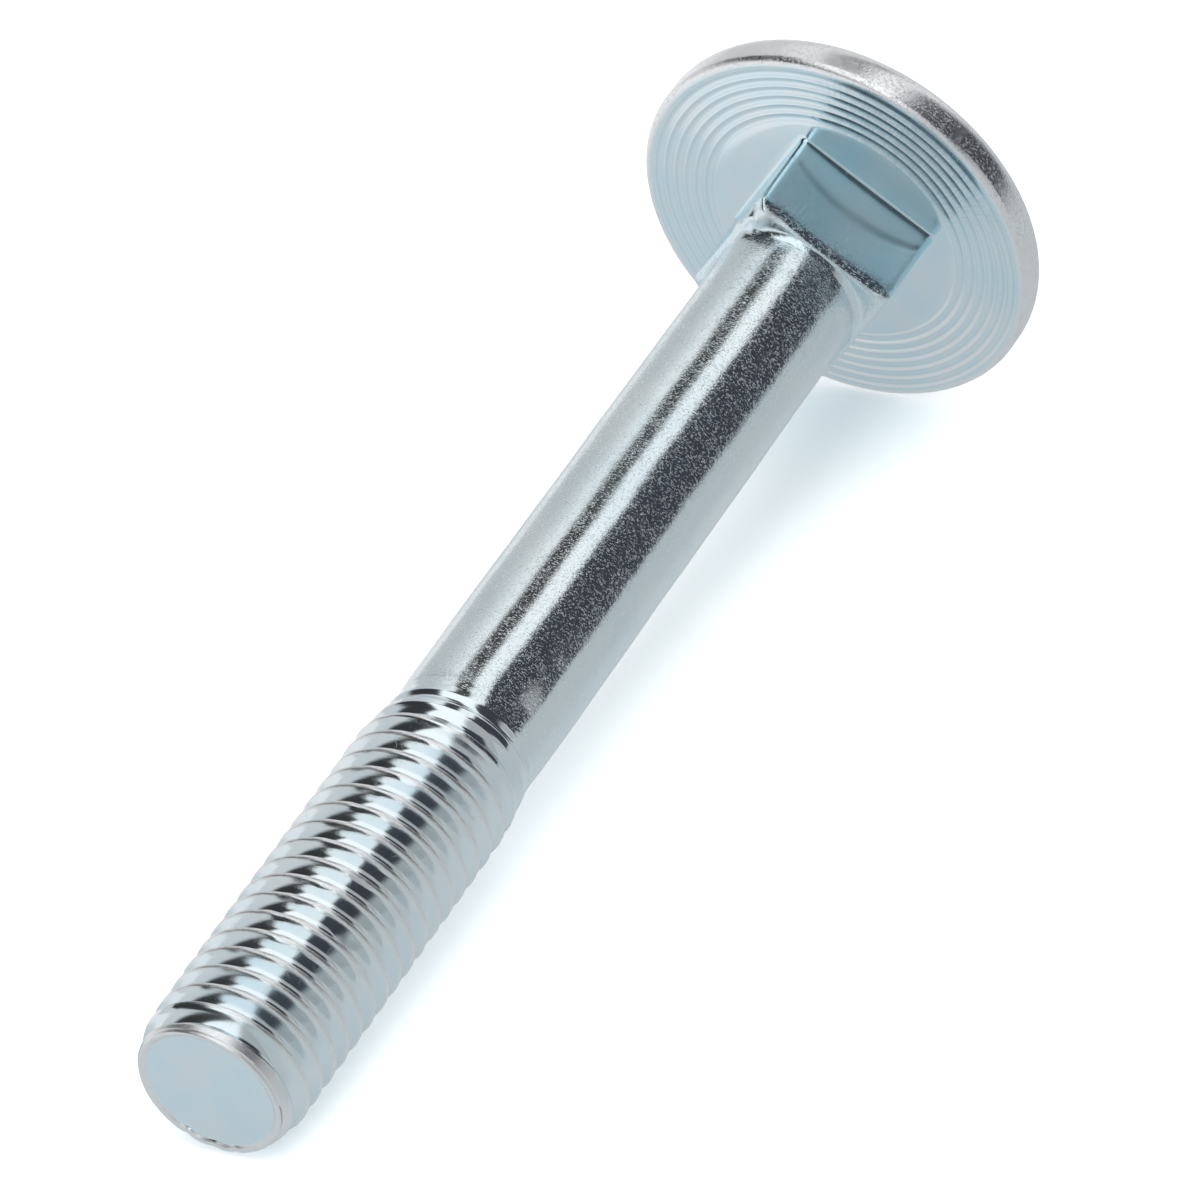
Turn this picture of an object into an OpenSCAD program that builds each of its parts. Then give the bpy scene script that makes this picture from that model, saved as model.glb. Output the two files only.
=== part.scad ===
// Carriage bolt, M10 x 75 mm: domed cup head with a ringed underside, square neck, plain
// shank at the pitch diameter, and a rolled right-hand thread with a slightly cupped point.
// It is one forged piece and lies on the rim of its head and on its first full thread crest.

/* [Head] */
// Diameter of the head across its rim
head_d = 24.5; // [23.4:0.1:26]
// Height of the head from its underside to the top of the dome
head_h = 5.2; // [4.7:0.1:6]
// Height of the straight band round the rim
rim_h = 1.3; // [1.1:0.1:1.6]
// Rounding where the rim meets the underside
rim_edge_r = 0.4; // [0.2:0.05:0.5]
// Rounding where the rim runs over into the dome
rim_brow_r = 1.6; // [1.2:0.1:2]

/* [Underside rings] */
// Diameter of the smooth seat round the neck, inside the rings
seat_d = 15.4; // [14.4:0.1:15.8]
// Number of turned rings between the seat and the rim
ring_count = 6; // [3:1:8]
// Width of the flat land between the rings and the rim's rounding
ring_land = 0.3; // [0.1:0.05:0.6]
// Depth of each ring's hollow
ring_depth = 0.07; // [0.03:0.01:0.12]

/* [Square neck] */
// Width of the square neck across its flats
neck_w = 9.4; // [9.2:0.1:10]
// Length of the square neck under the head
neck_h = 6; // [5:0.1:8]
// Rounding of the neck's four long corners
neck_corner_r = 0.4; // [0.2:0.1:0.8]
// Rounding of the neck's edges at the shoulder
neck_edge_r = 0.8; // [0.3:0.1:1]

/* [Shank] */
// Length from the underside of the head to the point
bolt_l = 75; // [60:5:100]
// Diameter of the plain shank
shank_d = 8.78; // [8.6:0.02:9]
// Fillet where the shank meets the shoulder
shank_fillet_r = 0.5; // [0.2:0.05:0.6]

/* [Thread] */
// Diameter over the thread crests
thread_d = 9.84; // [9.7:0.02:10]
// Distance from one turn to the next
pitch = 1.5; // [1.25:0.05:1.75]
// Width of the thread's crest, as a share of the pitch
crest_share = 0.14; // [0.12:0.01:0.16]
// Width of the thread's root, as a share of the pitch
root_share = 0.2; // [0.16:0.01:0.22]
// Length of the full thread from the point
thread_l = 25.4; // [20:0.2:32]
// Length over which the thread runs out into the shank
runout_l = 3.6; // [2.5:0.1:5]
// Turn of the thread's start against the flats of the neck
thread_start = 70; // [0:5:355]

/* [Point] */
// Diameter of the lip round the end face
point_d = 8.7; // [8:0.1:9]
// Length over which the point tapers up to the thread's diameter
point_l = 2; // [1:0.1:3]
// Diameter of the flat inside the lip
cup_d = 7.7; // [6.6:0.1:7.8]
// Depth of the flat inside the lip
cup_depth = 0.2; // [0.05:0.05:0.4]
// Rounding of the lip
lip_r = 0.2; // [0.1:0.05:0.25]

/* [How it lies] */
// Turn of the whole bolt about its own axis
bolt_roll = 40; // [0:5:90]

/* [Hidden] */
$fn = 96;

head_r = head_d / 2;
neck_z = bolt_l - neck_h;
// the dome and the rim's brow are tangent arcs, so the dome's radius follows from both heights
brow_a = head_r - rim_brow_r;
dome_k = head_h - rim_h;
dome_r = (dome_k * dome_k + brow_a * brow_a - rim_brow_r * rim_brow_r) / (2 * (dome_k - rim_brow_r));
dome_z = head_h - dome_r;
brow_end = brow_a * dome_r / (dome_r - rim_brow_r);

ring_start = seat_d / 2;
ring_step = (head_r - rim_edge_r - ring_land - ring_start) / ring_count;
ring_r = (ring_step * ring_step / 4 + ring_depth * ring_depth) / (2 * ring_depth);

// the thread's flanks stand at 60 degrees to each other, so its depth follows from the pitch
flank = tan(30);
crest_w = pitch * crest_share;
root_w = pitch * root_share;
thread_r = thread_d / 2;
root_r = thread_r - (pitch - crest_w - root_w) / (2 * flank);
thread_end = thread_l + runout_l;

// the cutter that leaves the thread: one ring of four points per step along the helix
// its flanks run on past the crests, but stay short of the next turn's, and its root ends clear
// of the shank
cut_steps = 24;
cut_over_share = 0.7;
cut_over = cut_over_share * crest_w / (2 * flank);
cut_clear = 0.06;
cut_n = ceil(cut_steps * (thread_end + pitch) / pitch);
function cut_z(i) = -pitch + pitch * i / cut_steps;
function cut_root(z) = z < thread_l - pitch ? root_r
    : root_r + (shank_d / 2 + cut_clear - root_r) * (z - thread_l + pitch) / (runout_l + pitch);
function cut_half(r) = root_w / 2 + (r - root_r) * flank;
function cut_point(r, a, z) = [r * cos(a), r * sin(a), z];
function cut_ring(i) = let(
        a = 360 * i / cut_steps,
        z = cut_z(i),
        ri = cut_root(z),
        ro = thread_r + cut_over,
        wi = cut_half(ri),
        wo = cut_half(ro))
    [cut_point(ro, a, z - wo), cut_point(ri, a, z - wi),
        cut_point(ri, a, z + wi), cut_point(ro, a, z + wo)];
function cut_quad(i, k) = let(a = 4 * i + k, b = 4 * i + (k + 1) % 4, c = b + 4, d = a + 4)
    [[a, c, b], [a, d, c]];

// how the bolt lies: the floor touches the rim's lower rounding and the first full crest below
crest_low = pitch * (1 - (bolt_roll + thread_start) / 360);
crest_first = crest_low + pitch * ceil((point_l - crest_low) / pitch);
lie_x = bolt_l + rim_edge_r - crest_first;
lie_r = head_r - rim_edge_r - thread_r;
lie = atan2(lie_r, lie_x) + asin(rim_edge_r / sqrt(lie_x * lie_x + lie_r * lie_r));
lie_up = thread_r * cos(lie) - crest_first * sin(lie);
end_high = (bolt_l + dome_z) * cos(lie) + dome_r;
end_low = lip_r * cos(lie) - (point_d / 2 - lip_r) * sin(lie) - lip_r;

module head_profile() {
    difference() {
        union() {
            intersection() {
                translate([0, dome_z]) circle(r = dome_r, $fn = 360);
                square([brow_end, head_h]);
            }
            intersection() {
                translate([brow_a, rim_h]) circle(r = rim_brow_r);
                translate([0, rim_edge_r]) square([head_r, head_h]);
            }
            translate([0, rim_edge_r]) square([head_r, rim_h - rim_edge_r]);
            square([head_r - rim_edge_r, rim_h]);
            translate([head_r - rim_edge_r, rim_edge_r]) circle(r = rim_edge_r);
        }
        for (i = [0:ring_count - 1])
            translate([ring_start + (i + 0.5) * ring_step, ring_depth - ring_r])
                circle(r = ring_r);
        translate([-head_r, -head_r]) square([head_r, 3 * head_r]);
    }
}

module head() {
    translate([0, 0, bolt_l]) rotate_extrude() head_profile();
}

module neck_square() {
    inner = neck_w - 2 * neck_corner_r;
    square([neck_w, inner], center = true);
    square([inner, neck_w], center = true);
    for (x = [-1, 1], y = [-1, 1])
        translate([x * inner / 2, y * inner / 2]) circle(r = neck_corner_r, $fn = 32);
}

module neck_side() {
    inner = neck_w - 2 * neck_edge_r;
    translate([-neck_w / 2, neck_edge_r]) square([neck_w, neck_h]);
    translate([-inner / 2, 0]) square([inner, neck_h]);
    for (x = [-1, 1])
        translate([x * inner / 2, neck_edge_r]) circle(r = neck_edge_r, $fn = 48);
}

module neck() {
    translate([0, 0, neck_z])
        intersection() {
            linear_extrude(neck_h + rim_edge_r) neck_square();
            for (a = [0, 90])
                rotate([90, 0, a]) linear_extrude(2 * neck_w, center = true) neck_side();
        }
}

module shank() {
    translate([0, 0, thread_end]) cylinder(h = neck_z - thread_end + neck_edge_r, d = shank_d);
}

module fillet_profile() {
    r = shank_d / 2 + shank_fillet_r;
    difference() {
        translate([0, neck_z - shank_fillet_r]) square([r, 2 * shank_fillet_r]);
        translate([r, neck_z - shank_fillet_r]) circle(r = shank_fillet_r, $fn = 48);
    }
}

// the fillet spreads under the neck's corners and ends flush with its flats
module shank_fillet() {
    intersection() {
        rotate_extrude() fillet_profile();
        translate([0, 0, neck_z - shank_fillet_r]) linear_extrude(2 * shank_fillet_r) neck_square();
    }
}

module blank_profile() {
    p = point_d / 2;
    difference() {
        union() {
            polygon([[0, lip_r], [p, lip_r], [thread_r, point_l], [thread_r, thread_l],
                [shank_d / 2, thread_end], [0, thread_end]]);
            square([p - lip_r, point_l]);
            translate([p - lip_r, lip_r]) circle(r = lip_r, $fn = 32);
        }
        polygon([[-1, -1], [p - lip_r, -1], [p - lip_r, 0], [cup_d / 2, cup_depth], [-1, cup_depth]]);
    }
}

module thread_cut() {
    polyhedron(
        points = [for (i = [0:cut_n]) each cut_ring(i)],
        faces = concat(
            [[0, 1, 2, 3]],
            [for (i = [0:cut_n - 1], k = [0:3]) each cut_quad(i, k)],
            [[4 * cut_n + 3, 4 * cut_n + 2, 4 * cut_n + 1, 4 * cut_n]]));
}

module thread() {
    difference() {
        rotate_extrude() blank_profile();
        rotate([0, 0, thread_start]) thread_cut();
    }
}

module bolt() {
    color([0.76, 0.79, 0.81])
        translate([-(end_low + end_high) / 2, 0, lie_up])
            rotate([0, 90 - lie, 0]) rotate([0, 0, 180 + bolt_roll])
                union() {
                    head();
                    neck();
                    shank();
                    shank_fillet();
                    thread();
                }
}

bolt();
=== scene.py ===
from math import asin, atan2, ceil, cos, hypot, pi, radians, sin, tan

import bmesh
import bpy
import numpy as np
from mathutils import Matrix, Vector, noise


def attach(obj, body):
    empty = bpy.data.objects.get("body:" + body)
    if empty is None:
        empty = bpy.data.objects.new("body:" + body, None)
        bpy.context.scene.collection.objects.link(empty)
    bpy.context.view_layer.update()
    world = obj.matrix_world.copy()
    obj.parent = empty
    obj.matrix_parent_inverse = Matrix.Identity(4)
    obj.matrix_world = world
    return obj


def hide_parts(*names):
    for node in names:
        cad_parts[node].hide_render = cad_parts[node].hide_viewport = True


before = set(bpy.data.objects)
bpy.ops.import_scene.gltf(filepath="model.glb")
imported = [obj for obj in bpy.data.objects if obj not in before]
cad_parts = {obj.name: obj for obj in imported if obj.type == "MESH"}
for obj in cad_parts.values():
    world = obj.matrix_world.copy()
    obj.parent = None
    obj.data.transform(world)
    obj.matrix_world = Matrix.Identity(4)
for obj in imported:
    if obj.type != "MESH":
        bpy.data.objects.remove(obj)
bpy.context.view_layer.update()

# the bolt's sizes in millimetres, along its own axis from the point (z = 0) up to the dome
boltSize = {
    "headDia": 24.5, "headHeight": 5.2, "rimHeight": 1.3, "rimEdge": 0.4, "brow": 1.6,
    "seatDia": 15.4, "ringCount": 6, "ringLand": 0.3, "ringDepth": 0.07,
    "neckWidth": 9.4, "neckLength": 6.0, "cornerRound": 0.4, "shoulderRound": 0.8,
    "neckFoot": 0.28,  # little fillet where the neck runs into the head
    "length": 75.0, "shankDia": 8.78, "fillet": 0.5,
    "crestDia": 9.84, "pitch": 1.5, "crestWidth": 0.21, "rootWidth": 0.3, "flankAngle": 30,
    "rootRound": 0.5, "crestRound": 0.06,
    "threadLength": 25.4, "runout": 3.6, "threadStart": 70, "roll": 40,
    "pointDia": 8.7, "pointLength": 2.0, "cupDia": 7.7, "cupDepth": 0.2, "lip": 0.2,
}


def layBolt(b):  # it lies on the rim of its head and on its first full crest
    headR, crestR = b["headDia"] / 2, b["crestDia"] / 2
    browAt = headR - b["brow"]
    rise = b["headHeight"] - b["rimHeight"]
    domeR = (rise ** 2 + browAt ** 2 - b["brow"] ** 2) / (2 * (rise - b["brow"]))
    domeZ = b["headHeight"] - domeR
    crestLow = b["pitch"] * (1 - (b["roll"] + b["threadStart"]) / 360)
    crestFirst = crestLow + b["pitch"] * ceil((b["pointLength"] - crestLow) / b["pitch"])
    run = b["length"] + b["rimEdge"] - crestFirst
    drop = headR - b["rimEdge"] - crestR
    lie = atan2(drop, run) + asin(b["rimEdge"] / hypot(run, drop))
    lift = crestR * cos(lie) - crestFirst * sin(lie)
    high = (b["length"] + domeZ) * cos(lie) + domeR
    low = b["lip"] * cos(lie) - (b["pointDia"] / 2 - b["lip"]) * sin(lie) - b["lip"]
    b["domeR"], b["domeZ"], b["browAt"] = domeR, domeZ, browAt  # the skin needs them too
    turn = Matrix.Rotation(pi / 2 - lie, 4, "Y") @ Matrix.Rotation(pi + radians(b["roll"]), 4, "Z")
    return Matrix.Translation((-(low + high) / 2, 0, lift)) @ turn


toRow = Matrix.Scale(0.001, 4) @ layBolt(boltSize)  # bolt millimetres to row metres

# the skin is one closed grid of columns round the axis, with rows from the point to the dome
skinGrid = {
    "columns": 144, "cornerColumns": 3, "stripLow": 0.22, "stripHigh": 29.7,
    "endFrom": 0.4, "endInset": 0.15, "endRows": 9, "dish": 0.03,
    # out from the cup's edge, and the height there
    "lipRows": ((0.02, 0.19), (0.1, 0.13), (0.18, 0.06), (0.26, 0.015), (0.34, 0.0),
                (0.42, 0.03), (0.475, 0.1)),
    # away from the crest line, for a pitch of crestRowsPitch
    "crestRows": (0, 0.05, 0.085, 0.11, 0.14, 0.19, 0.29, 0.41, 0.52, 0.60, 0.67),
    "crestRowsPitch": 1.5,
    "shankRows": 44, "filletRows": 8, "filletShare": 0.45, "roundShare": 0.55,
    "shoulderRows": (0.34, 0.67), "neckRows": 12, "footRows": 5,
    "seatRows": (0.15, 0.35, 0.6, 0.8), "ringRows": (0, 0.06, 0.16, 0.34, 0.5, 0.66, 0.84, 0.94),
    "edgeRows": 7, "browRows": 11, "domeRows": 30,
    "weldWithin": 2e-7, "thinnest": 1e-7,
}


def roundCorner(low, high, width):  # the lower of two heights, with a soft change-over
    mix = np.clip(0.5 + 0.5 * (high - low) / width, 0, 1)
    return high * (1 - mix) + low * mix - width * mix * (1 - mix)


def threadHeight(b, offset, z):  # radius of the thread at a distance from its crest line
    crestR, shankR = b["crestDia"] / 2, b["shankDia"] / 2
    flank = 1 / tan(radians(b["flankAngle"]))
    rootR = crestR - (b["pitch"] - b["crestWidth"] - b["rootWidth"]) * flank / 2
    out = np.clip((z - b["threadLength"]) / b["runout"], 0, 1)
    top = crestR + (shankR - crestR) * out
    fade = np.clip((z - b["threadLength"] + b["pitch"]) / (b["runout"] + b["pitch"]), 0, 1)
    root = rootR + (shankR - rootR) * fade
    cone = b["pointDia"] / 2 + (crestR - b["pointDia"] / 2) * z / b["pointLength"]
    top = np.minimum(top, np.maximum(cone, b["pointDia"] / 2))
    slope = crestR - (np.abs(offset) - b["crestWidth"] / 2) * flank
    body = -roundCorner(-slope, -root, b["rootRound"])
    return roundCorner(body, top, b["crestRound"])


def threadRows(b, g):  # distances of the grid's rows from the crest, packed where the form turns
    half = np.array(g["crestRows"]) * b["pitch"] / g["crestRowsPitch"]
    return np.concatenate([half, [b["pitch"] / 2], b["pitch"] - half[:0:-1]])


def squarePoint(b, turn, k):  # a column's place on the neck's rounded square
    t = turn / (pi / 2)
    side = np.round(t)
    f = t - side
    half, r = b["neckWidth"] / 2, b["cornerRound"]
    flat = 0.5 - k
    along = np.clip(f / flat, -1, 1) * (half - r)
    bend = np.clip((np.abs(f) - flat) / k, 0, 1) * pi / 4
    x = half - r + r * np.cos(bend)
    y = along + np.sign(f) * r * np.sin(bend)
    a = side * pi / 2
    return x * np.cos(a) - y * np.sin(a), x * np.sin(a) + y * np.cos(a)


def boltRows(b, g):
    n = g["columns"]
    turn = np.arange(n) * 2 * pi / n
    c, s = np.cos(turn), np.sin(turn)
    rows = []

    def ring(r, z):
        rows.append(np.stack([r * c, r * s, np.full(n, z)], 1))

    cup, depth, lipR = b["cupDia"] / 2, b["cupDepth"], b["pointDia"] / 2
    for r in np.linspace(g["endFrom"], cup - g["endInset"], g["endRows"]):
        ring(r, depth - g["dish"] * (1 - (r / cup) ** 2))
    for out, z in g["lipRows"]:
        ring(cup + out, z)
    ring(lipR, g["stripLow"])

    # the thread's rows climb one pitch in each turn, so its crests and roots lie along the grid
    offsets = threadRows(b, g)
    climb = b["pitch"] * turn / (2 * pi)
    crestAt = b["pitch"] * (0.5 - b["threadStart"] / 360)
    turnsUp = int(ceil((g["stripHigh"] - crestAt) / b["pitch"])) + 1
    first = len(rows)
    for k in range(-2, turnsUp):
        for off in offsets:
            z = np.clip(crestAt + k * b["pitch"] + off + climb, g["stripLow"], g["stripHigh"])
            past = np.mod(z - crestAt - climb, b["pitch"])
            r = threadHeight(b, np.minimum(past, b["pitch"] - past), z)
            rows.append(np.stack([r * c, r * s, z], 1))
    last = len(rows)

    shankR, neckZ = b["shankDia"] / 2, b["length"] - b["neckLength"]
    for z in np.linspace(g["stripHigh"], neckZ - b["fillet"], g["shankRows"])[1:]:
        ring(shankR, z)

    # fillet, shoulder and rounding, from the round shank out to the square
    sx, sy = squarePoint(b, turn, g["cornerColumns"] / (n / 4))
    reach = np.hypot(sx, sy)
    gap = reach - shankR
    fillet = np.minimum(b["fillet"], gap * g["filletShare"])
    over = np.minimum(b["shoulderRound"], gap * g["roundShare"])

    def shoulder(out, z):
        part = out / gap
        x = (1 - part) * shankR * c + part * sx
        y = (1 - part) * shankR * s + part * sy
        k = (shankR + out) / np.hypot(x, y)
        rows.append(np.stack([x * k, y * k, np.full(n, z)], 1))

    for a in np.linspace(0, pi / 2, g["filletRows"])[1:]:
        shoulder(fillet * (1 - np.cos(a)), neckZ - b["fillet"] * (1 - np.sin(a)))
    for f in g["shoulderRows"]:
        shoulder(fillet + (gap - fillet - over) * f, neckZ)
    for a in np.linspace(0, pi / 2, g["filletRows"]):
        shoulder(gap - over * (1 - np.sin(a)), neckZ + b["shoulderRound"] * (1 - np.cos(a)))

    top, foot = b["length"], b["neckFoot"]
    for z in np.linspace(neckZ + b["shoulderRound"], top - foot, g["neckRows"])[1:]:
        rows.append(np.stack([sx, sy, np.full(n, z)], 1))
    for a in np.linspace(0, pi / 2, g["footRows"])[1:]:
        k = 1 + foot * (1 - cos(a)) / reach
        rows.append(np.stack([sx * k, sy * k, np.full(n, top - foot * (1 - sin(a)))], 1))
    seat = b["seatDia"] / 2
    edge = np.stack([sx, sy], 1) * (1 + foot / reach)[:, None]
    for f in g["seatRows"]:
        x = edge[:, 0] * (1 - f) + seat * c * f
        y = edge[:, 1] * (1 - f) + seat * s * f
        rows.append(np.stack([x, y, np.full(n, top)], 1))

    headR = b["headDia"] / 2
    step = (headR - b["rimEdge"] - b["ringLand"] - seat) / b["ringCount"]
    for i in range(b["ringCount"]):
        for f in g["ringRows"]:
            ring(seat + (i + f) * step, top + b["ringDepth"] * (1 - (2 * f - 1) ** 2))
    ring(headR - b["rimEdge"] - b["ringLand"], top)
    for a in np.linspace(0, pi / 2, g["edgeRows"]):
        ring(headR - b["rimEdge"] * (1 - sin(a)), top + b["rimEdge"] * (1 - cos(a)))
    ring(headR, top + (b["rimEdge"] + b["rimHeight"]) / 2)
    lean = atan2(b["browAt"], b["rimHeight"] - b["domeZ"])
    for a in np.linspace(pi / 2, lean, g["browRows"]):
        ring(b["browAt"] + b["brow"] * sin(a), top + b["rimHeight"] + b["brow"] * cos(a))
    for a in np.linspace(lean, 0, g["domeRows"])[1:-1]:
        ring(b["domeR"] * sin(a), top + b["domeZ"] + b["domeR"] * cos(a))
    return rows, first, last, len(offsets)


# what forging, rolling and handling left on it, in millimetres and degrees round the bolt
shapeWear = {
    "shankSwell": (0.05, -0.055), "swellOver": (35, 60), "shankEnds": (29.2, 68.3), "shankEase": 1.5,
    "waver": 0.012, "waves": ((2, 0.31, 1.0), (3, -0.83, 0.6)),  # lobes, twist per mm, share
    "crestPits": 0.035, "pitSize": 0.9, "pitLevel": 0.05, "pitGain": 2,
    "crestBand": 0.12, "crestUntil": 28, "dentsFrom": 3,
    "wornTo": 4.62, "wornBelow": 1.3, "wornRise": 0.5, "wornSide": 0.02,
    "wornFrom": -60, "wornUntil": 15,
}
dents = [
    # burrs and a bulge on the shoulder's corners
    {"turn": 311, "z": 69.3, "wide": 0.35, "long": 0.35, "push": -0.34},
    {"turn": 293, "z": 69.1, "wide": 0.6, "long": 0.3, "push": 0.2},
    {"turn": 305, "z": 69.0, "wide": 0.22, "long": 0.16, "push": 0.26},
    {"turn": 317, "z": 69.5, "wide": 0.2, "long": 0.2, "push": 0.2},
    {"turn": 299, "z": 69.5, "wide": 0.3, "long": 0.14, "push": -0.2},
    {"turn": 45, "z": 69.3, "wide": 0.3, "long": 0.28, "push": 0.24},
    # a lip, a fold and a lap under the shoulder
    {"turn": 53, "z": 68.2, "wide": 0.7, "long": 0.2, "push": 0.22},
    {"turn": 30, "z": 67.7, "wide": 1.6, "long": 0.14, "push": -0.05},
    {"turn": 335, "z": 68.4, "wide": 1.2, "long": 0.12, "push": 0.06},
    # a dip past the thread's run-out and a chip in a crest
    {"turn": 20, "z": 30.4, "wide": 2.4, "long": 0.9, "push": -0.1},
    {"turn": 12, "z": 10.2, "wide": 0.6, "long": 0.3, "push": -0.1},
    # nicks in the point's lip
    {"turn": 172, "z": 0.15, "wide": 0.3, "long": 0.3, "push": -0.16},
    {"turn": 150, "z": 0.15, "wide": 0.4, "long": 0.3, "push": -0.14},
    {"turn": 131, "z": 0.2, "wide": 0.25, "long": 0.3, "push": -0.1},
]


def wearShape(points, b, w):
    x, y, z = points.T
    r, turn = np.hypot(x, y), np.degrees(np.arctan2(y, x))
    push = np.zeros(len(points))
    plain = z > b["threadLength"] + b["runout"]
    plain &= z < b["length"] - b["neckLength"] - b["fillet"]
    low, high = w["shankEnds"]
    fade = np.clip(np.minimum(z - low, high - z) / w["shankEase"], 0, 1)
    start, end = w["swellOver"]
    along = np.clip((z - start) / (end - start), 0, 1)
    swell = w["shankSwell"][0] * (1 - along) + w["shankSwell"][1] * along
    wave = sum(share * np.sin(np.radians(lobes * turn) + z * twist) for lobes, twist, share in w["waves"])
    push += np.where(plain, fade * (swell + w["waver"] * wave), 0)
    crest = (z < w["crestUntil"]) & (z > b["pointLength"]) & (r > b["crestDia"] / 2 - w["crestBand"])
    for i in np.nonzero(crest)[0]:
        pit = noise.noise(Vector(points[i]) / w["pitSize"]) - w["pitLevel"]
        push[i] -= w["crestPits"] * max(0, pit) * w["pitGain"]
    for d in dents:
        across = (np.mod(turn - d["turn"] + 180, 360) - 180) * np.radians(1) * r / d["wide"]
        shape = np.exp(-across ** 2 - ((z - d["z"]) / d["long"]) ** 2)
        push += d["push"] * shape * (r > w["dentsFrom"])
    r2 = r + push
    # the first turn is worn down on one side
    aside = np.maximum(0, np.maximum(w["wornFrom"] - turn, turn - w["wornUntil"]))
    limit = w["wornTo"] + np.maximum(0, z - w["wornBelow"]) * w["wornRise"] + aside * w["wornSide"]
    r2 = np.where(z < b["threadLength"], np.minimum(r2, limit), r2)
    k = r2 / np.maximum(r, 1e-6)
    return np.stack([x * k, y * k, z], 1)


def boltSkin(b, g):
    n = g["columns"]
    rows, first, last, perTurn = boltRows(b, g)
    points = [tuple(p) for p in wearShape(np.concatenate(rows), b, shapeWear)]

    def at(row, col):  # the thread's rows join their own next turn where the circle closes
        if col == n:
            col = 0
            if first <= row < last:
                row = min(row + perTurn, last - 1)
        return row * n + col

    faces = []
    for i in range(len(rows) - 1):
        for j in range(n):
            faces.append((at(i, j), at(i + 1, j), at(i + 1, j + 1), at(i, j + 1)))
    tip, dome, lastRow = len(points), len(points) + 1, (len(rows) - 1) * n
    points += [(0, 0, b["cupDepth"] - g["dish"]), (0, 0, b["length"] + b["headHeight"])]
    for j in range(n):
        faces.append((tip, j, (j + 1) % n))
        faces.append((dome, lastRow + (j + 1) % n, lastRow + j))
    mesh = bpy.data.meshes.new("carriageBolt")
    mesh.from_pydata(points, [], faces)
    return mesh


def makeBolt(g):
    mesh = boltSkin(boltSize, g)
    mesh.transform(toRow)
    bolt = bpy.data.objects.new("carriageBolt", mesh)
    bpy.context.scene.collection.objects.link(bolt)
    weld = bmesh.new()
    weld.from_mesh(mesh)
    bmesh.ops.remove_doubles(weld, verts=weld.verts, dist=g["weldWithin"])
    bmesh.ops.dissolve_degenerate(weld, edges=weld.edges, dist=g["thinnest"])
    bmesh.ops.recalc_face_normals(weld, faces=weld.faces)
    openEdges = sum(1 for e in weld.edges if len(e.link_faces) != 2)
    weld.to_mesh(mesh)
    weld.free()
    mesh.shade_smooth()
    print("bolt skin:", len(mesh.polygons), "faces,", openEdges, "open edges")
    return bolt


# shorthand for building node trees
def fill(tree, made, inputs):
    for name, value in inputs.items():
        if isinstance(value, bpy.types.NodeSocket):
            tree.links.new(value, made.inputs[name])
        else:
            made.inputs[name].default_value = value


def put(tree, kind, inputs, **settings):
    made = tree.nodes.new("ShaderNode" + kind)
    for name, value in settings.items():
        setattr(made, name, value)
    fill(tree, made, inputs)
    return made


def maths(tree, how, a, b=0.0):
    return put(tree, "Math", {0: a, 1: b}, operation=how).outputs[0]


def times(tree, a, b):
    return maths(tree, "MULTIPLY", a, b)


def plus(tree, a, b):
    return maths(tree, "ADD", a, b)


def minus(tree, a, b):
    return maths(tree, "SUBTRACT", a, b)


def ease(tree, value, low, high):
    inputs = {"Value": value, "From Min": low, "From Max": high}
    return put(tree, "MapRange", inputs, interpolation_type="SMOOTHSTEP").outputs[0]


def mixColours(tree, share, low, high):
    return put(tree, "Mix", {0: share, 6: low, 7: high}, data_type="RGBA").outputs[2]


def noiseAt(tree, place, scale, detail=2.0, rough=0.5, distortion=0.0):
    inputs = {"Vector": place, "Scale": scale, "Detail": detail, "Roughness": rough,
              "Distortion": distortion}
    return put(tree, "TexNoise", inputs).outputs[0]


def xyz(tree, x, y, z=0.0):
    return put(tree, "CombineXYZ", {0: x, 1: y, 2: z}).outputs[0]


def newGroup(name, inputs, outputs):
    tree = bpy.data.node_groups.new(name, "ShaderNodeTree")
    for label, kind, value in inputs:
        socket = tree.interface.new_socket(label, in_out="INPUT", socket_type="NodeSocket" + kind)
        if value is not None:
            socket.default_value = value
    for label, kind in outputs:
        tree.interface.new_socket(label, in_out="OUTPUT", socket_type="NodeSocket" + kind)
    return tree, tree.nodes.new("NodeGroupInput").outputs, tree.nodes.new("NodeGroupOutput").inputs


def useGroup(tree, group, inputs):
    made = tree.nodes.new("ShaderNodeGroup")
    made.node_tree = group
    fill(tree, made, inputs)
    return made.outputs


def boltPlace():  # where a point is on the bolt, in its own millimetres
    outputs = [("Place", "Vector"), ("Height", "Float"), ("Radius", "Float"), ("Turn", "Float")]
    tree, _, out = newGroup("boltPlace", [], outputs)
    where, turned, size = toRow.decompose()
    inputs = {"Vector": put(tree, "TexCoord", {}).outputs["Object"], "Location": where,
              "Rotation": turned.to_euler(), "Scale": size}
    place = put(tree, "Mapping", inputs, vector_type="TEXTURE").outputs[0]
    x, y, z = put(tree, "SeparateXYZ", {0: place}).outputs
    across = plus(tree, times(tree, x, x), times(tree, y, y))
    tree.links.new(place, out["Place"])
    tree.links.new(z, out["Height"])
    tree.links.new(maths(tree, "SQRT", across), out["Radius"])
    tree.links.new(maths(tree, "ARCTAN2", y, x), out["Turn"])
    return tree


grainLook = {
    "scale": 0.6, "detail": 2.0, "rough": 0.65, "distortion": 0.6, "fleck": (0.57, 0.66),
    "lumpScale": 0.9, "lumpDetail": 4.0, "lumps": (0.38, 0.62), "lumpShare": 0.5, "least": 0.6,
    "ground": 0.55, "fleckRise": 0.55,
    "cloudStretch": 0.35, "cloudDetail": 4.0, "cloud": (0.35, 0.68),
}


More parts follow.
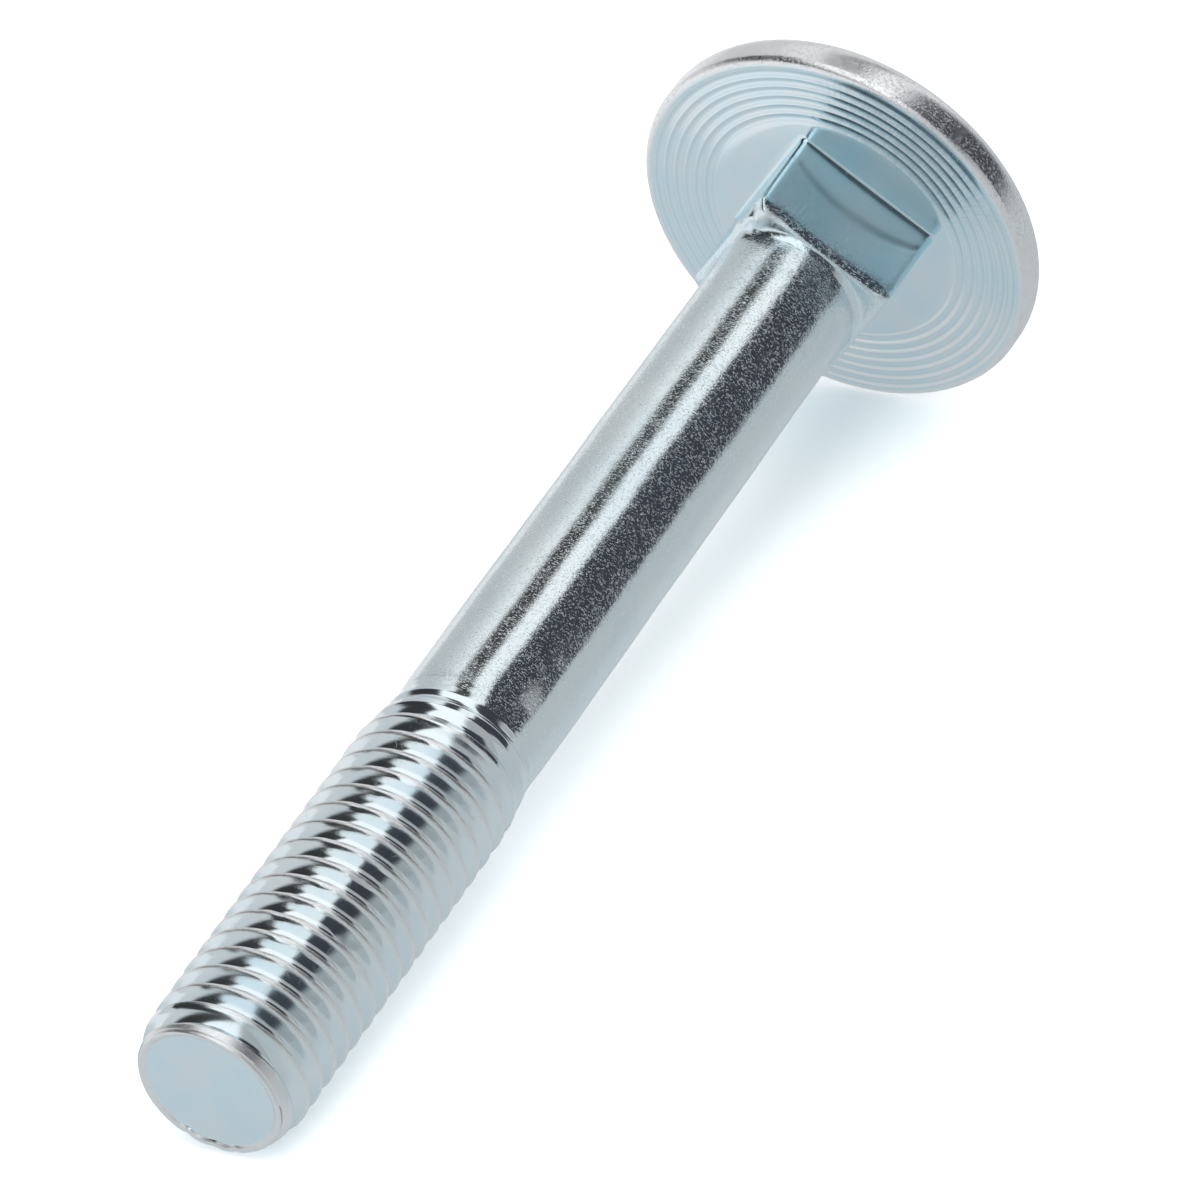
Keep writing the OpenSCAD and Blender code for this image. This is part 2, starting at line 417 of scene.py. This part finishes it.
def crossGrain(look):  # short flecks that lie across the axis, and soft clouds along it
    inputs = [("Place", "Vector", None), ("Fleck Size", "Float", 0.12), ("Stretch", "Float", 1.9),
              ("Cloud Size", "Float", 3.0)]
    outputs = [("Relief", "Float"), ("Fleck", "Float"), ("Cloud", "Float")]
    tree, given, out = newGroup("crossGrain", inputs, outputs)
    x, y, z = put(tree, "SeparateXYZ", {0: given["Place"]}).outputs
    thin = xyz(tree, x, y, times(tree, z, given["Stretch"]))
    fine = maths(tree, "DIVIDE", look["scale"], given["Fleck Size"])
    grain = noiseAt(tree, thin, fine, look["detail"], look["rough"], look["distortion"])
    blotch = noiseAt(tree, given["Place"], look["lumpScale"], look["lumpDetail"])
    long = xyz(tree, x, y, times(tree, z, look["cloudStretch"]))
    wide = maths(tree, "DIVIDE", 1.0, given["Cloud Size"])
    cloud = noiseAt(tree, long, wide, look["cloudDetail"])
    fleck = ease(tree, grain, *look["fleck"])
    lumps = times(tree, ease(tree, blotch, *look["lumps"]), look["lumpShare"])
    strength = plus(tree, lumps, look["least"])
    height = plus(tree, times(tree, grain, look["ground"]), times(tree, fleck, look["fleckRise"]))
    tree.links.new(times(tree, height, strength), out["Relief"])
    tree.links.new(fleck, out["Fleck"])
    tree.links.new(ease(tree, cloud, *look["cloud"]), out["Cloud"])
    return tree


scratchLook = {
    "turns": (0.4, 1.5, 2.6), "leanY": 0.7, "leanZ": 1.9, "stretch": 0.12,
    "scale": 1.6, "detail": 1.0, "widthShare": 0.35, "gate": (0.62, 0.7),
}


def fineScratches(look):  # thin stray lines with open ends
    inputs = [("Place", "Vector", None), ("Length", "Float", 1.6), ("Width", "Float", 0.01)]
    tree, given, out = newGroup("fineScratches", inputs, [("Line", "Float")])
    total = 0.0
    for turn in look["turns"]:
        inputs = {"Vector": given["Place"], "Scale": (1, 1, look["stretch"]),
                  "Rotation": (turn, turn * look["leanY"], turn * look["leanZ"])}
        bent = put(tree, "Mapping", inputs).outputs[0]
        wave = noiseAt(tree, bent, look["scale"], look["detail"])
        away = maths(tree, "ABSOLUTE", minus(tree, wave, 0.5))
        line = maths(tree, "LESS_THAN", away, times(tree, given["Width"], look["widthShare"]))
        inputs = {"Vector": given["Place"], "Scale": maths(tree, "DIVIDE", 1.0, given["Length"]), "W": turn}
        gate = put(tree, "TexNoise", inputs, noise_dimensions="4D").outputs[0]
        total = maths(tree, "MAXIMUM", total, times(tree, line, ease(tree, gate, *look["gate"])))
    tree.links.new(total, out["Line"])
    return tree


def relief():  # turns a height mask into a normal; its depth is in millimetres
    inputs = [("Height", "Float", 0.0), ("Depth", "Float", 0.001), ("Normal", "Vector", None)]
    tree, given, out = newGroup("relief", inputs, [("Normal", "Vector")])
    depth = times(tree, given["Depth"], 0.001)
    bump = put(tree, "Bump", {"Height": given["Height"], "Distance": depth, "Normal": given["Normal"]})
    tree.links.new(bump.outputs[0], out["Normal"])
    return tree


zincLook = {
    "colour": (0.80, 0.85, 0.87, 1), "cool": (0.74, 0.82, 0.86, 1), "warm": (0.94, 0.92, 0.925, 1),
    "faceColour": (0.73, 0.86, 0.92, 1), "faceLight": (0.80, 0.87, 0.90, 1),
    "neckColour": (0.6, 0.83, 0.92, 1), "neckPale": (0.7, 0.88, 0.95, 1),
    "fleckColour": (0.93, 0.95, 0.96, 1), "wornColour": (0.88, 0.88, 0.885, 1),
    "shankRough": 0.09, "threadRough": 0.1, "faceRough": 0.16, "cloudRough": 0.05,
    "wornRough": 0.3, "rimRough": 0.24, "scuffRough": 0.26,
    "fleckSize": 0.11, "grainDepth": 0.016, "grainNearHead": 1.5, "rimGrain": 0.026,
    "shoulderGrain": 0.016, "lipGrain": 0.008, "domeGrain": 0.007, "restGrain": 0.0006,
    "scratchDepth": 0.002,
}
# heights and radii, in millimetres, over which one finish gives way to the next
zincPlaces = {
    "thread": (28.4, 29.4), "nearHead": (38.0, 66.0), "shank": (68.3, 69.0),
    "shoulder": (68.6, 69.0), "shoulderEnd": (69.7, 70.5), "neck": (69.2, 69.9),
    "head": (74.9, 75.0), "film": (75.9, 77.0), "dome": (76.6, 77.4), "rim": (11.7, 12.05),
    "lip": (3.84, 3.92), "lipBelow": 0.7, "crest": (4.8, 4.88), "end": (3.8, 3.95), "endBelow": 1.0,
}
# the rings' ridges are worn bright and their flanks darker; one side of them gets a painted highlight, a
# near-white band, and another side is scuffed across them
ringLook = {
    "from": (-0.12, -0.08), "past": 0.12, "below": (75.25, 75.35),
    "ridge": (0.34, 0.48), "flank": (0.1, 0.3), "patchScale": 0.3, "patch": (0.36, 0.6),
    "ringWear": 0.4, "flankDarken": 0.35, "hollow": (0.60, 0.73, 0.79, 1),
    # where the painted highlight lies on the rings, and how strongly it shows
    "highlightTurn": 2.05, "highlightReach": (0.6, 0.92), "highlightBand": (0.2, 0.38), "highlightShare": 0.9,
    "highlightColour": (0.985, 0.985, 0.985, 1),
    "scuffTurn": 0.05, "scuffReach": (0.72, 0.93), "scuffShare": 0.6,
    "spokes": 34.0, "spokeRun": 0.7, "spokeScale": 1.6, "spokeDetail": 3.0, "spoke": (0.42, 0.62),
}


def facing(tree, at, turn, reach):  # one side of the bolt, by the turn round its axis
    return ease(tree, maths(tree, "COSINE", minus(tree, at["Turn"], turn)), *reach)


def ringLines(tree, at, onHead, colour, bright, look):
    b = boltSize
    start, end = b["seatDia"] / 2, b["headDia"] / 2 - b["rimEdge"] - b["ringLand"]
    ringsAt = maths(tree, "DIVIDE", minus(tree, at["Radius"], start), (end - start) / b["ringCount"])
    away = maths(tree, "ABSOLUTE", minus(tree, maths(tree, "FRACT", ringsAt), 0.5))
    underside = minus(tree, onHead, ease(tree, at["Height"], *look["below"]))
    among = times(tree, ease(tree, ringsAt, *look["from"]), underside)
    among = times(tree, among, maths(tree, "LESS_THAN", ringsAt, b["ringCount"] + look["past"]))
    ridge = times(tree, ease(tree, away, *look["ridge"]), among)
    flank = times(tree, ease(tree, away, *look["flank"]), minus(tree, among, ridge))
    patchy = ease(tree, noiseAt(tree, at["Place"], look["patchScale"]), *look["patch"])
    # the rings' flanks are mixed towards the darker hollow colour
    darkerFlanks = mixColours(tree, times(tree, flank, look["flankDarken"]), colour, look["hollow"])
    worn = times(tree, times(tree, ridge, patchy), look["ringWear"])
    edged = mixColours(tree, worn, darkerFlanks, bright)
    # painted highlight: a near-white band over the ridges and their outer flanks, on one side of the rings
    highlightSide = facing(tree, at, look["highlightTurn"], look["highlightReach"])
    highlightMask = times(tree, ease(tree, away, *look["highlightBand"]), times(tree, highlightSide, among))
    rings = mixColours(tree, times(tree, highlightMask, look["highlightShare"]), edged, look["highlightColour"])
    # fine marks that run out across the rings on one side
    spoke = xyz(tree, times(tree, at["Turn"], look["spokes"]), times(tree, at["Radius"], look["spokeRun"]))
    spokes = ease(tree, noiseAt(tree, spoke, look["spokeScale"], look["spokeDetail"]), *look["spoke"])
    side = facing(tree, at, look["scuffTurn"], look["scuffReach"])
    scuff = times(tree, times(tree, spokes, side), among)
    scuffed = mixColours(tree, times(tree, scuff, look["scuffShare"]), rings, look["hollow"])
    return scuffed, times(tree, side, among)


def zincPlate(look, places):
    mat = bpy.data.materials.new("zincPlate")
    mat.use_nodes = True
    tree = mat.node_tree
    shader = tree.nodes["Principled BSDF"]
    at = useGroup(tree, boltPlace(), {})
    grain = useGroup(tree, crossGrain(grainLook), {"Place": at["Place"], "Fleck Size": look["fleckSize"]})
    lines = useGroup(tree, fineScratches(scratchLook), {"Place": at["Place"]})["Line"]

    def above(name):
        return ease(tree, at["Height"], *places[name])

    pastThread, pastShank, onHead = above("thread"), above("shank"), above("head")
    shank = minus(tree, pastThread, pastShank)
    rim = times(tree, onHead, ease(tree, at["Radius"], *places["rim"]))
    lowEnough = maths(tree, "LESS_THAN", at["Height"], places["lipBelow"])
    onLip = times(tree, ease(tree, at["Radius"], *places["lip"]), lowEnough)
    onCrest = times(tree, ease(tree, at["Radius"], *places["crest"]), minus(tree, 1.0, pastThread))
    worn = maths(tree, "MAXIMUM", onLip, onCrest)
    shoulder = minus(tree, above("shoulder"), above("shoulderEnd"))
    inner, outer = places["end"]
    onEnd = ease(tree, times(tree, at["Radius"], -1.0), -outer, -inner)
    onEnd = times(tree, onEnd, maths(tree, "LESS_THAN", at["Height"], places["endBelow"]))
    onFace = maths(tree, "MAXIMUM", minus(tree, pastShank, above("film")), onEnd)
    onNeck = minus(tree, above("neck"), onHead)

    plate = mixColours(tree, grain["Cloud"], look["colour"], look["cool"])
    film = mixColours(tree, grain["Cloud"], look["faceColour"], look["faceLight"])
    neckFilm = mixColours(tree, grain["Cloud"], look["neckColour"], look["neckPale"])
    colour = mixColours(tree, onFace, plate, film)
    colour = mixColours(tree, onNeck, colour, neckFilm)
    colour, scuffed = ringLines(tree, at, onHead, colour, look["fleckColour"], ringLook)
    colour = mixColours(tree, rim, colour, look["warm"])
    flecks = times(tree, grain["Fleck"], maths(tree, "MAXIMUM", shank, rim))
    colour = mixColours(tree, flecks, colour, look["fleckColour"])
    colour = mixColours(tree, worn, colour, look["wornColour"])

    rough = look["threadRough"]
    for mask, more in ((pastThread, look["shankRough"] - look["threadRough"]),
                       (pastShank, look["faceRough"] - look["shankRough"]),
                       (grain["Cloud"], look["cloudRough"]),
                       (rim, look["rimRough"] - look["faceRough"]),
                       (scuffed, look["scuffRough"] - look["faceRough"]),
                       (worn, look["wornRough"] - look["threadRough"])):
        rough = plus(tree, rough, times(tree, mask, more))

    rise = plus(tree, 1.0, times(tree, above("nearHead"), look["grainNearHead"] - 1))
    depth = times(tree, times(tree, rise, look["grainDepth"]), shank)
    for mask, more in ((rim, look["rimGrain"]), (shoulder, look["shoulderGrain"]),
                       (worn, look["lipGrain"]), (above("dome"), look["domeGrain"]),
                       (minus(tree, 1.0, shank), look["restGrain"])):
        depth = plus(tree, depth, times(tree, mask, more))
    carve = relief()
    grained = useGroup(tree, carve, {"Height": grain["Relief"], "Depth": depth})["Normal"]
    marks = {"Height": lines, "Depth": look["scratchDepth"], "Normal": grained}
    scratched = useGroup(tree, carve, marks)["Normal"]
    shader.inputs["Metallic"].default_value = 1
    tree.links.new(colour, shader.inputs["Base Color"])
    tree.links.new(rough, shader.inputs["Roughness"])
    tree.links.new(scratched, shader.inputs["Normal"])
    print("zinc plate:", len(tree.nodes), "nodes")
    return mat


studio = {
    "floorSize": 3.0, "floorColour": (0.86, 0.88, 0.89, 1), "floorSeen": (2.3, 2.3, 2.3, 1),
    # painted glow of the floor, seen only in the plate's reflections: in front of the bolt, under it, and
    # far behind it
    "floorFront": (0.53, 0.575, 0.595, 1), "floorMirrored": (0.68, 0.74, 0.77, 1),
    "floorFar": (1.1, 1.11, 1.12, 1), "mirroredShare": 0.65,
    "front": (-0.013, -0.004), "far": (0.024, 0.05),
    "glowPatchX": (-0.032, -0.028, 0.0145, 0.0175), "glowPatchY": (0.001, 0.005),
    "flagAt": -0.12, "flagEnds": (-0.09, 0.34), "flagTop": 0.262, "flagSoft": 0.014,
    "flagLow": 0.066, "flagStep": (0.058, 0.076), "flagColour": (0.05, 0.053, 0.066, 1),
    "split": (0.2, 0.5), "tint": (0.965, 1.0, 1.015, 1),
}
# brightness of the light tent by angle from straight up, towards the flag's side where positive
tent = [(-180, 0.6), (-62, 0.6), (-46, 0.72), (-30, 0.95), (-22, 0.95), (-18, 0.06), (0, 0.06),
        (5, 1.08), (22, 1.05), (40, 0.75), (180, 0.7)]
# and the same behind the bolt's point, where the tent is open on one side
tentBehind = [(-180, 0.7), (-72, 0.7), (-64, 0.04), (-27, 0.04), (-21, 1.15), (28, 1.15),
              (38, 0.46), (95, 0.46), (180, 0.6)]


def flatSheet(name, corners, mat):
    mesh = bpy.data.meshes.new(name)
    mesh.from_pydata(corners, [], [(0, 1, 2, 3)])
    mesh.materials.append(mat)
    sheet = bpy.data.objects.new(name, mesh)
    bpy.context.scene.collection.objects.link(sheet)
    return sheet


def emptyMaterial(name):
    mat = bpy.data.materials.new(name)
    mat.use_nodes = True
    mat.node_tree.nodes.clear()
    return mat, mat.node_tree, mat.node_tree.nodes.new("ShaderNodeOutputMaterial").inputs["Surface"]


def layFloor(s):
    mat, tree, surface = emptyMaterial("paper")
    seen = put(tree, "LightPath", {}).outputs["Is Camera Ray"]
    paper = put(tree, "BsdfDiffuse", {"Color": mixColours(tree, seen, s["floorColour"], s["floorSeen"])})
    # painted glow, seen only in reflections: the plate sees the floor darker in front and brighter far
    # behind, and a brighter glowing patch beside it
    x, y = put(tree, "SeparateXYZ", {0: put(tree, "TexCoord", {}).outputs["Object"]}).outputs[:2]
    # the glowing patch is a painted reflection: a strip of floor that glows for glossy rays only
    x0, x1, x2, x3 = s["glowPatchX"]
    glowPatch = times(tree, ease(tree, x, x0, x1), minus(tree, 1.0, ease(tree, x, x2, x3)))
    glowPatch = times(tree, glowPatch, ease(tree, y, *s["glowPatchY"]))
    far = maths(tree, "MAXIMUM", ease(tree, y, *s["far"]), glowPatch)
    near = mixColours(tree, ease(tree, y, *s["front"]), s["floorFront"], s["floorMirrored"])
    glow = put(tree, "Emission", {"Color": mixColours(tree, far, near, s["floorFar"])})
    mirrored = put(tree, "LightPath", {}).outputs["Is Glossy Ray"]
    share = times(tree, mirrored, s["mirroredShare"])
    floor = put(tree, "MixShader", {0: share, 1: paper.outputs[0], 2: glow.outputs[0]})
    tree.links.new(floor.outputs[0], surface)
    h = s["floorSize"] / 2
    flatSheet("paperFloor", [(-h, -h, 0), (h, -h, 0), (h, h, 0), (-h, h, 0)], mat)
    print("floor laid")


def hangFlag(s):  # a black flag with soft edges, cut away below at its end behind the point
    mat, tree, surface = emptyMaterial("blackFlag")
    x, _, z = put(tree, "SeparateXYZ", {0: put(tree, "TexCoord", {}).outputs["Object"]}).outputs
    front = ease(tree, x, *s["flagStep"])
    low = times(tree, minus(tree, 1.0, front), s["flagLow"])
    soft, top = s["flagSoft"], s["flagTop"]
    lower = maths(tree, "MAXIMUM", ease(tree, minus(tree, z, low), -soft, soft), front)
    upper = ease(tree, minus(tree, top, z), 0.0, 2 * soft)
    clear = put(tree, "BsdfTransparent", {}).outputs[0]
    dark = put(tree, "Emission", {"Color": s["flagColour"]}).outputs[0]
    mixed = put(tree, "MixShader", {0: times(tree, lower, upper), 1: clear, 2: dark})
    tree.links.new(mixed.outputs[0], surface)
    y, (x0, x1) = s["flagAt"], s["flagEnds"]
    flag = flatSheet("blackFlag", [(x0, y, 0), (x1, y, 0), (x1, y, top), (x0, y, top)], mat)
    flag.visible_camera = False
    flag.visible_diffuse = False  # it darkens reflections, not the floor
    print("flag hung")


def tentRamp(tree, share, levels):
    ramp = put(tree, "ValToRGB", {0: share})
    stops = ramp.color_ramp.elements
    stops.remove(stops[1])
    for angle, level in levels:
        stop = stops[0] if angle == levels[0][0] else stops.new(angle / 360 + 0.5)
        stop.position = angle / 360 + 0.5
        stop.color = (level, level, level, 1)
    return ramp.outputs[0]


def lightWorld(s):
    world = bpy.data.worlds.new("studio")
    bpy.context.scene.world = world
    world.use_nodes = True
    tree = world.node_tree
    x, y, z = put(tree, "SeparateXYZ", {0: put(tree, "TexCoord", {}).outputs["Generated"]}).outputs
    lean = maths(tree, "ARCTAN2", times(tree, y, -1.0), z)
    share = plus(tree, maths(tree, "DIVIDE", lean, 2 * pi), 0.5)
    low, high = s["split"]
    behind = ease(tree, times(tree, x, -1.0), -high, -low)
    light = mixColours(tree, behind, tentRamp(tree, share, tent), tentRamp(tree, share, tentBehind))
    tinted = {0: 1.0, 6: light, 7: s["tint"]}
    tinted = put(tree, "Mix", tinted, data_type="RGBA", blend_type="MULTIPLY").outputs[2]
    tree.links.new(tinted, tree.nodes["Background"].inputs["Color"])
    print("light tent lit")


cameraPlace = {
    "from": (-0.43616, -0.30494, 0.3658), "right": (0.47486, -0.86669, -0.15279),
    "forward": (0.68328, 0.4725, -0.55668), "lens": 346.92, "sensor": 36, "clip": (0.01, 20),
}


def placeCamera(p):
    data = bpy.data.cameras.new("camera")
    data.lens, data.sensor_width = p["lens"], p["sensor"]
    data.clip_start, data.clip_end = p["clip"]
    camera = bpy.data.objects.new("camera", data)
    bpy.context.scene.collection.objects.link(camera)
    back = -Vector(p["forward"]).normalized()
    right = (Vector(p["right"]) - back * Vector(p["right"]).dot(back)).normalized()
    up = back.cross(right)
    camera.matrix_world = Matrix.Translation(p["from"]) @ Matrix((right, up, back)).transposed().to_4x4()
    bpy.context.scene.camera = camera
    print("camera placed")


placeCamera(cameraPlace)
bolt = makeBolt(skinGrid)
bolt.data.materials.append(zincPlate(zincLook, zincPlaces))
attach(bolt, "root")
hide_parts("bolt")
layFloor(studio)
hangFlag(studio)
lightWorld(studio)
bpy.context.scene.view_settings.view_transform = "Standard"
